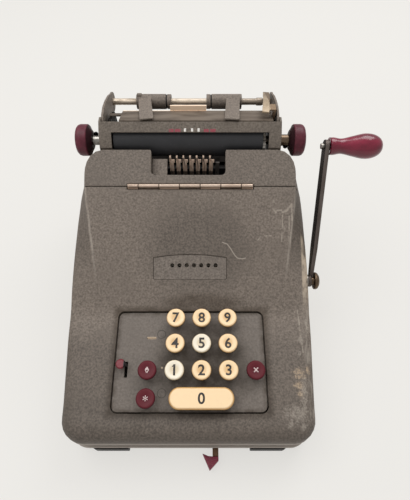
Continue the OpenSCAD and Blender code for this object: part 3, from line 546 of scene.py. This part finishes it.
# Key panel. Painted like the casing but cooler and smoother, darker between the keys, with painted shade
# in its corners, and two plugged holes, a bright dot and a dash painted as a highlight on a slit on their
# left.
plug_middles = [(-24.8, -63.6, 66), (-22.6, -112.4, 57.5)]
plug_radius = 3.6


def panel_grime(paint):
    """Darkest where the keys stand close together, with painted shade in the corners and a darker band
    along the gap round the panel.
    """
    packed = paint.spot((11, -89, 62), (66, 64, 60)).rise(0.12, 0.7)
    smear = paint.noise(8, 5, roughness=0.6).rise(0.32, 0.68)
    # Painted shade in the panel's corners.
    corners = paint.dirt(6).rise(0.2, 0.9) * 0.6
    return packed * 0.85 * (0.5 + 0.5 * smear) + corners | beside_panel(paint, 6) * 0.7 * (0.4 + smear)


def panel_marks(paint, base):
    """A dark ring round each plugged hole, the bright dot, and the dash painted as a highlight on a slit.
    """
    away = [paint.vector("DISTANCE", paint.place, middle, output="Value") for middle in plug_middles]
    rings = reduce(or_, (abs(far - plug_radius).rise(0.55, 0.15) for far in away))
    base = paint.mix(base, tone(66, 60, 55), rings * 0.7)
    bright_dot = paint.spot((-23.2, -92, 61.2), (1.3, 1.3, 1.3))
    # Painted highlight: the bright dash on a slit.
    dash_highlight = abs(paint.x + 33.3).rise(4.3, 3.6) * abs(paint.y + 66.7).rise(0.95, 0.6)
    return paint.mix(base, tone(206, 184, 158), bright_dot | dash_highlight)


panel_paint = crinkle("panel_paint", tone(111, 103, 96), panel_grime, panel_marks, 0.6)
dress("keyboard_plate", panel_paint, 0.3)

# Frame. Two steel side plates and the rods between them, seen only with the lid up or
# from below, together with the plate that guides the key stems.
frame_steel = metal("frame_steel", tone(120, 114, 106), 0.5, 0.42)
for name in ("side_frame_left", "side_frame_right", "frame_crossbars", "key_guide_plate"):
    dress(name, frame_steel, 0.2)


# Number keys. Cream moulded caps on steel stems, dished on top, yellowed at the rim, each
# with its black numeral moulded in. Two of them were replaced and are whiter.
def key_plastic(name, top, rim, gloss=0.3, shine=0.5):
    """Old moulded plastic: clear top, amber skirt, and painted shade darkening the skirt's foot."""
    cap = Finish(name, Specular_IOR_Level=shine)
    height = cap.vector("DOT_PRODUCT", cap.place, tuple(panel_axis), output="Value")
    crown = height - cap_level
    handled = cap.noise(3.5, 3)
    base = cap.mix(rim, top, crown.rise(-1.1, -0.1))
    base = cap.mix(base, tuple(c * 0.9 for c in top), handled.rise(0.5, 0.8) * 0.35)
    # Painted shade at the foot of the cap's skirt.
    base = cap.mix(base, tuple(c * 0.16 for c in rim), crown.rise(-0.8, -2.6) * 0.95)
    cap.colour(base)
    cap.rough(gloss + handled * 0.15)
    cap.bump(cap.noise(1.2, 3), 0.012)
    return cap


def top_of(name):
    """Centre of a key's top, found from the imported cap."""
    low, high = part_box(name)
    reach = max(v.co.dot(panel_axis) for v in nodes[name].data.vertices)
    rim = [v.co for v in nodes[name].data.vertices if v.co.dot(panel_axis) > reach - 0.3 * mm]
    back = [p.y for p in rim]
    middle = Vector(((low.x + high.x) / 2, (min(back) + max(back)) / 2, 0))
    middle.z = (reach - middle.dot(panel_axis)) / panel_axis.z
    return middle


cap_level = top_of("key_5").dot(panel_axis) / mm
cream = key_plastic("cream_key", tone(247, 217, 174), tone(204, 156, 92))
ivory = key_plastic("ivory_key", tone(241, 231, 211), tone(204, 180, 138))
numeral_black = Finish("numeral_black", Roughness=0.4)
numeral_black.colour(numeral_black.mix(tone(24, 22, 22), tone(58, 52, 48), numeral_black.noise(1.5, 3)))


def dish(away, radius):
    """How deep a round cap's top lies at a distance from its middle, in millimetres."""
    steps = [(0, 0.8), (radius - 5, 0.6), (radius - 2.6, 0.1), (radius - 1.3, 0)]
    for (near, deep), (far, shallow) in zip(steps, steps[1:]):
        if away < far:
            return deep + (shallow - deep) * (away - near) / (far - near)
    return 0


# How far a sign stands over its key's top and goes into it, and the flag at the head of the
# 1, which the plain face draws as a bare stroke.
legend_lift = 0.05
legend_depth = 0.25
longest_edge = 1.0
flag_of_one = ((0.3, 4.35), (-1.9, 3.1), (-1.9, 2.3), (0.3, 3.2))


def flat_sign(name, sign, size, bold):
    """A sign's outline as flat faces, size millimetres high about its own middle."""
    text = bpy.data.curves.new(name, "FONT")
    text.body = sign
    text.align_x = "CENTER"
    text.align_y = "CENTER"
    text.size = 10
    text.offset = bold
    text.resolution_u = 6
    drawn = bpy.data.objects.new(name + "_outline", text)
    scene.collection.objects.link(drawn)
    mesh = bpy.data.meshes.new_from_object(drawn.evaluated_get(bpy.context.evaluated_depsgraph_get()))
    bpy.data.objects.remove(drawn)
    shape = bmesh.new()
    shape.from_mesh(mesh)
    heights = [v.co.y for v in shape.verts]
    widths = [v.co.x for v in shape.verts]
    scale = size / (max(heights) - min(heights))
    centre = Vector(((max(widths) + min(widths)) / 2, (max(heights) + min(heights)) / 2, 0))
    for vertex in shape.verts:
        vertex.co = (vertex.co - centre) * scale
    return shape, mesh


def inlay(name, sign, key, size, finish, radius=None, bold=0.22):
    """A sign let into a key's top, bent to the dish of a round cap of this radius, if any."""
    shape, mesh = flat_sign(name, sign, size, bold)
    if sign == "1":
        shape.faces.new([shape.verts.new((x, y, 0)) for x, y in flag_of_one])
    bmesh.ops.remove_doubles(shape, verts=shape.verts, dist=0.001)
    bmesh.ops.triangulate(shape, faces=shape.faces)
    for _ in range(2):
        long_edges = [e for e in shape.edges if e.calc_length() > longest_edge]
        bmesh.ops.subdivide_edges(shape, edges=long_edges, cuts=1, use_grid_fill=True)
    bmesh.ops.triangulate(shape, faces=shape.faces)
    for vertex in shape.verts:
        away = math.hypot(vertex.co.x, vertex.co.y)
        vertex.co.z = legend_lift - (dish(away, radius) if radius else 0)
    thick = bmesh.ops.extrude_face_region(shape, geom=shape.faces[:])
    for item in thick["geom"]:
        if isinstance(item, bmesh.types.BMVert):
            item.co.z -= legend_depth
    bmesh.ops.recalc_face_normals(shape, faces=shape.faces)
    in_panel = Matrix.Rotation(panel_tilt, 4, "X") @ Matrix.Scale(mm, 4)
    shape.transform(Matrix.Translation(top_of(key)) @ in_panel)
    shape.to_mesh(mesh)
    shape.free()
    mesh.materials.clear()
    mesh.materials.append(finish.material)
    piece = bpy.data.objects.new(name, mesh)
    scene.collection.objects.link(piece)
    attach(piece, key)
    return piece


numeral_size = 8.9
number_cap_radius = 8.2
for digit in range(10):
    key = f"key_{digit}"
    dress(key, ivory if digit in (1, 5) else cream, 0.2)
    cap_radius = number_cap_radius if digit else None
    numeral = inlay(f"numeral_{digit}", str(digit), key, numeral_size, numeral_black, cap_radius)

# Control keys. The same caps in maroon, with white symbols: a lozenge for the subtotal,
# a star for the total and a cross for multiplying.
maroon = key_plastic("maroon_key", tone(92, 30, 38), tone(80, 16, 30), 0.4, 0.22)
control_cap_radius = 7.9
legend_white = Finish("legend_white", Roughness=0.45)
legend_white.colour(legend_white.mix(tone(226, 214, 208), tone(176, 140, 142), legend_white.noise(1.2, 3)))
for key, sign, size in [("subtotal_key", "◊", 5.4), ("total_key", "*", 4.6), ("multiply_key", "×", 4.2)]:
    dress(key, maroon, 0.2)
    sign_piece = inlay("sign_" + key, sign, key, size, legend_white, control_cap_radius, 0.04)

# Function lever. A stamped steel lever with a turned maroon knob, left of the keys.
lever_red = key_plastic("lever_red", tone(120, 52, 58), tone(120, 52, 58), 0.36)
lever_red.colour(lever_red.mix(tone(30, 26, 25), tone(116, 38, 47), lever_red.x.rise(-54.6, -55.2)))
dress("function_lever", lever_red, 0.2)

# Correction lever. Flat steel on a stud below the pan, with a moulded maroon tip that
# comes out under the front edge.
lever_steel = metal("lever_steel", tone(122, 96, 76), 0.6, 0.45, (1, 8, 1))
dress("correction_lever", lever_steel, 0.2)


def polished(name, deep, bright_side, gloss=0.16):
    """Glossy moulded plastic with soft clouds of colour and fine handling marks."""
    gloss_red = Finish(name, Specular_IOR_Level=0.45, Coat_Weight=0.25, Coat_Roughness=0.08)
    swirl = gloss_red.noise(9, 3, (2.5, 1, 1))
    fine = gloss_red.noise(0.7, 2, (6, 1, 1))
    gloss_red.colour(gloss_red.mix(deep, bright_side, swirl.rise(0.3, 0.75)))
    gloss_red.rough(gloss + fine * 0.14)
    gloss_red.bump(fine, 0.008)
    return gloss_red


tip_red = polished("tip_red", tone(110, 22, 46), tone(150, 40, 66), 0.2)
dress("correction_lever_tip", tip_red, 0.5)

# Stop-pin carriage. A dark block of stop pins on two rods below the keys, and the ivory
# pointer bar that it moves behind the seven holes.
block_steel = metal("block_steel", tone(98, 92, 86), 0.5, 0.45)
dress("pin_carriage", block_steel, 0.3)
pointer = Finish("pointer_ivory", Roughness=0.5)
pointer.colour(pointer.mix(tone(214, 206, 190), tone(168, 156, 136), pointer.noise(2, 3)))
dress("column_indicator", pointer, 0.15)

# Hand crank. A dark forged arm on its shaft, a domed nut, and a turned maroon grip that
# spins on a plated spindle.


def arm_steel():
    """Dark steel, varied grey in worn streaks, with painted shade turning the inner face nearly black."""
    steel = Finish("crank_steel", Metallic=0.6, Specular_IOR_Level=0.35)
    side = steel.node("ShaderNodeNewGeometry", output="True Normal")
    inner = steel.vector("DOT_PRODUCT", side, (-1, 0, 0), output="Value").rise(0.3, 0.8)
    wear = steel.noise(6, 4, (1, 4, 4))
    base = steel.mix(tone(104, 95, 90), tone(84, 74, 68), wear.rise(0.35, 0.7))
    # Painted shade on the inner face, found from the way each face turns.
    steel.colour(steel.mix(base, tone(28, 24, 22), inner * 0.92))
    steel.rough(0.4 + wear * 0.2)
    steel.bump(steel.noise(0.6, 2, (1, 6, 6)), 0.02)
    return steel


dress("crank_arm", arm_steel(), 0.5)
dress("crank_nut", metal("nut_steel", tone(104, 88, 72), 0.5, 0.36), 0.3)
for name in ("crank_bush", "crank_shaft", "crank_spindle"):
    dress(name, bright, 0.2)
grip_red = polished("grip_red", tone(98, 10, 36), tone(132, 26, 54))
dress("crank_grip", grip_red, 0)

# Register and drive. A toothed sector turns brass number wheels on their own shaft.
oily = metal("oily_brass", tone(176, 148, 112), 0.5, 0.35)
dress("drive_sector", frame_steel, 0.1)
dress("accumulator_wheels", oily, 0.1)
dress("accumulator_shaft", bright, 0.1)

# Type bars, their guide with its painted ribbon shield, and the ribbon on its spools, in
# the dark well that the lid's notch opens.
def bar_plate():
    """Tan lacquered bars, with painted shade darkening the foot and dulling the head; the last one is bare
    steel.
    """
    plate = Finish("type_bar_plate", Metallic=0.25, Specular_IOR_Level=0.4)
    lines = plate.noise(0.6, 3, (1, 1, 9))
    base = plate.mix(tone(208, 178, 156), tone(244, 220, 200), lines.rise(0.35, 0.65))
    # Painted shade at the foot and over the head of the bars.
    base = plate.mix(base, tone(70, 58, 50), plate.z.rise(128, 126.5) * 0.85)
    base = plate.mix(base, tone(150, 128, 112), plate.z.rise(140.2, 141) * 0.7)
    base = plate.mix(base, tone(86, 80, 76), plate.x.rise(22.6, 22.8))
    plate.colour(base)
    plate.rough(0.45 + lines * 0.2)
    plate.bump(lines, 0.02)
    return plate


# Near-black steel, painted shade for the dark well; the carriage's side plates take it too.
shaded_well_steel = metal("shaded_well_steel", tone(30, 27, 25), 0.4, 0.6)
dress("type_bars", bar_plate(), 0.15)
# The guide's shield lies between these places across and above this height.
shield_left = -40 * mm
shield_right = -21.7 * mm
shield_foot = 113.2 * mm
guide = dress("type_bar_guide", shaded_well_steel, 0.2).data
guide.materials.append(plain_casing.material)
for face in guide.polygons:
    if shield_left < face.center.x < shield_right and face.center.z > shield_foot:
        face.material_index = 1
for name in ("ribbon_spool_left", "ribbon_spool_right"):
    dress(name, shaded_well_steel, 0.2)
inked = Finish("inked_ribbon", Roughness=0.9)
weave = inked.noise(0.35, 1)
inked.colour(inked.mix(tone(18, 17, 19), tone(40, 37, 40), weave))
inked.bump(weave, 0.05)
dress("ribbon", inked, 0)

# Carriage. Dark side plates carry the platen; a painted cover bends over them in one
# piece, with red and white column marks stamped along its lower edge.
dress("carriage_frame", shaded_well_steel, 0.3)
cover_grey = tone(106, 97, 88)
cover_paint = crinkle("carriage_paint", cover_grey, casing_grime)
dress("carriage_cover", cover_paint, 0.3)

# The cover's sloping band: its foot, the way up it and the way out of it. Then where the
# marks lie across it, and how thick their paint is and how far its middle stands out.
band_foot = Vector((0, 94, 160.5))
band_up = Vector((0, 8.9, 7.5)).normalized()
band_out = Vector((0, -7.5, 8.9)).normalized()
red_dashes = [(-19.6, -15.2), (-14.2, -8.8), (12.6, 17.2), (18.3, 23.6)]
white_ticks = [-4.7, 1.8, 7.8]
paint_depth = 0.12
paint_proud = 0.02


def column_marks():
    """Short red dashes and white ticks, paint filled, on the cover's sloping band."""
    reds = [(left, right, 0.2, 3.0) for left, right in red_dashes]
    whites = [(middle - 1.0, middle + 1.0, 0.6, 3.6) for middle in white_ticks]
    for name, marks, colour in (
        ("red_marks", reds, tone(142, 58, 70)),
        ("white_marks", whites, tone(232, 228, 222)),
    ):
        ink = Finish(name, Roughness=0.5)
        ink.colour(ink.mix(colour, cover_grey, ink.noise(1.0, 3).rise(0.5, 0.7) * 0.7))
        shape = bmesh.new()
        on_band = Matrix((Vector((1, 0, 0)), band_up, band_out)).transposed().to_4x4()
        for left, right, low, high in marks:
            block = bmesh.ops.create_cube(shape, size=1)["verts"]
            centre = band_foot + band_up * (low + high) / 2 + band_out * paint_proud
            centre.x = (left + right) / 2
            size = Matrix.Diagonal((right - left, high - low, paint_depth, 1))
            place = Matrix.Translation(centre) @ on_band @ size
            bmesh.ops.transform(shape, matrix=Matrix.Scale(mm, 4) @ place, verts=block)
        bmesh.ops.bevel(shape, geom=shape.edges[:], offset=0.04 * mm, segments=1, affect="EDGES")
        mesh = bpy.data.meshes.new(name)
        shape.to_mesh(mesh)
        shape.free()
        mesh.materials.append(ink.material)
        piece = bpy.data.objects.new(name, mesh)
        scene.collection.objects.link(piece)
        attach(piece, "casing")


column_marks()

# Platen. A hard black rubber roller on a plated shaft with black set screws, with a fine
# ratchet at its right end and a dull maroon knob at each side.
platen_rubber = rubber("platen_rubber", tone(43, 43, 45), 0.15)
dress("platen_roller", platen_rubber, 0.4)
shaft_metal = metal("shaft_metal", tone(186, 182, 176), 0.35, 0.24)
bronze = shaft_metal.mix(tone(160, 156, 150), tone(112, 96, 80), shaft_metal.x.rise(60, 80))
tarnish = shaft_metal.noise(5, 4).rise(0.45, 0.8)
bronze = shaft_metal.mix(bronze, tone(70, 60, 50), tarnish * 0.5)
# The two set screws are balls of this reach about their places on the shaft.
screw_places = [(-91.4, 107, 148), (91.4, 99, 140)]
screw_reach = (3.4, 3.4, 3.4)
screws = reduce(or_, (shaft_metal.spot(place, screw_reach) for place in screw_places))
shaft_metal.colour(shaft_metal.mix(bronze, tone(14, 13, 13), screws.rise(0.04, 0.2)))
dress("platen_shaft", shaft_metal, 0.2)
dress("platen_ratchet", bright, 0.1)


def knob_plastic():
    """Dull old maroon plastic, nearly black on the inner cone."""
    knob = Finish("knob_red", Specular_IOR_Level=0.28)
    worn = knob.noise(6, 4)
    base = knob.mix(tone(84, 34, 45), tone(106, 46, 58), worn.rise(0.35, 0.75))
    cone = abs(knob.x).rise(98.2, 97.2)
    knob.colour(knob.mix(base, tone(38, 22, 25), cone * 0.88))
    knob.rough(0.36 + worn * 0.18)
    knob.bump(knob.noise(0.9, 2), 0.015)
    return knob


dress("platen_knobs", knob_plastic(), 0.3)

# Paper table and release lever. The table is dull grey-brown metal with a painted reflection along its
# lip; the lever is worn brass, brown at its foot.
def lever_stain(brass, base):
    """Brown at the lever's foot and at the thumb piece beside it."""
    foot = brass.z.rise(170, 160) * brass.noise(4, 3).rise(0.3, 0.6) * 0.6 | brass.x.rise(73, 74.5) * 0.7
    return brass.mix(base, tone(96, 70, 48), foot)


lever_brass = metal("lever_brass", tone(196, 178, 154), 0.6, 0.45, (1, 6, 1), 0.7, lever_stain)
table_grey = Finish("table_grey", Specular_IOR_Level=0.4)
table_stain = table_grey.noise(9, 4, (3, 1, 1))
table_base = table_grey.mix(tone(121, 109, 97), tone(88, 77, 67), table_stain.rise(0.35, 0.7))
# Painted reflection: the lip is near white and less metallic, standing in for the bright room it reflects.
lip_reflection = table_grey.y.rise(126.6, 126.9) * table_grey.z.rise(158.2, 158.4)
lip_reflection = lip_reflection * table_grey.x.rise(15.6, 15.3)
table_grey.colour(table_grey.mix(table_base, tone(255, 228, 200), lip_reflection))
table_grey.feed(table_grey.shader.inputs["Metallic"], 0.35 - lip_reflection * 0.3)
table_grey.rough(0.5 + table_stain * 0.2)
table_grey.bump(table_grey.noise(0.8, 2, (6, 1, 1)), 0.02)
dress("paper_table", table_grey, 0.2)
dress("paper_release_lever", lever_brass, 0.2)

# Paper-roll stand. Painted arms, a brass rod, and two painted hubs that slide on it.
for name in ("roll_stand_left", "roll_stand_right"):
    dress(name, plain_casing, 0.3)


def ring_between(low, high):
    """A black fibre ring let into a hub, from low to high across the machine."""
    def ring(paint, base):
        band = paint.x.rise(low - 0.05, low + 0.05) * paint.x.rise(high + 0.05, high - 0.05)
        return paint.mix(base, tone(20, 18, 17), band)
    return ring


for name, low, high in (("roll_hub_left", -26.2, -24.9), ("roll_hub_right", 19.3, 20.6)):
    dress(name, crinkle(name + "_paint", hood_grey, casing_grime, ring_between(low, high)), 0.3)
rod_metal = Finish("rod_metal", Metallic=0.45, Specular_IOR_Level=0.5)
rod_wear = rod_metal.noise(4, 4, (3, 1, 1)).rise(0.45, 0.75)
rod_base = rod_metal.mix(tone(226, 210, 190), tone(142, 126, 108), rod_wear * 0.8)
rod_metal.colour(rod_metal.mix(rod_base, tone(118, 104, 90), rod_metal.x.rise(30, 34) * 0.7))
rod_metal.rough(0.3 + rod_wear * 0.25)
rod_metal.bump(rod_wear, 0.01)
dress("roll_rod", rod_metal, 0.15)
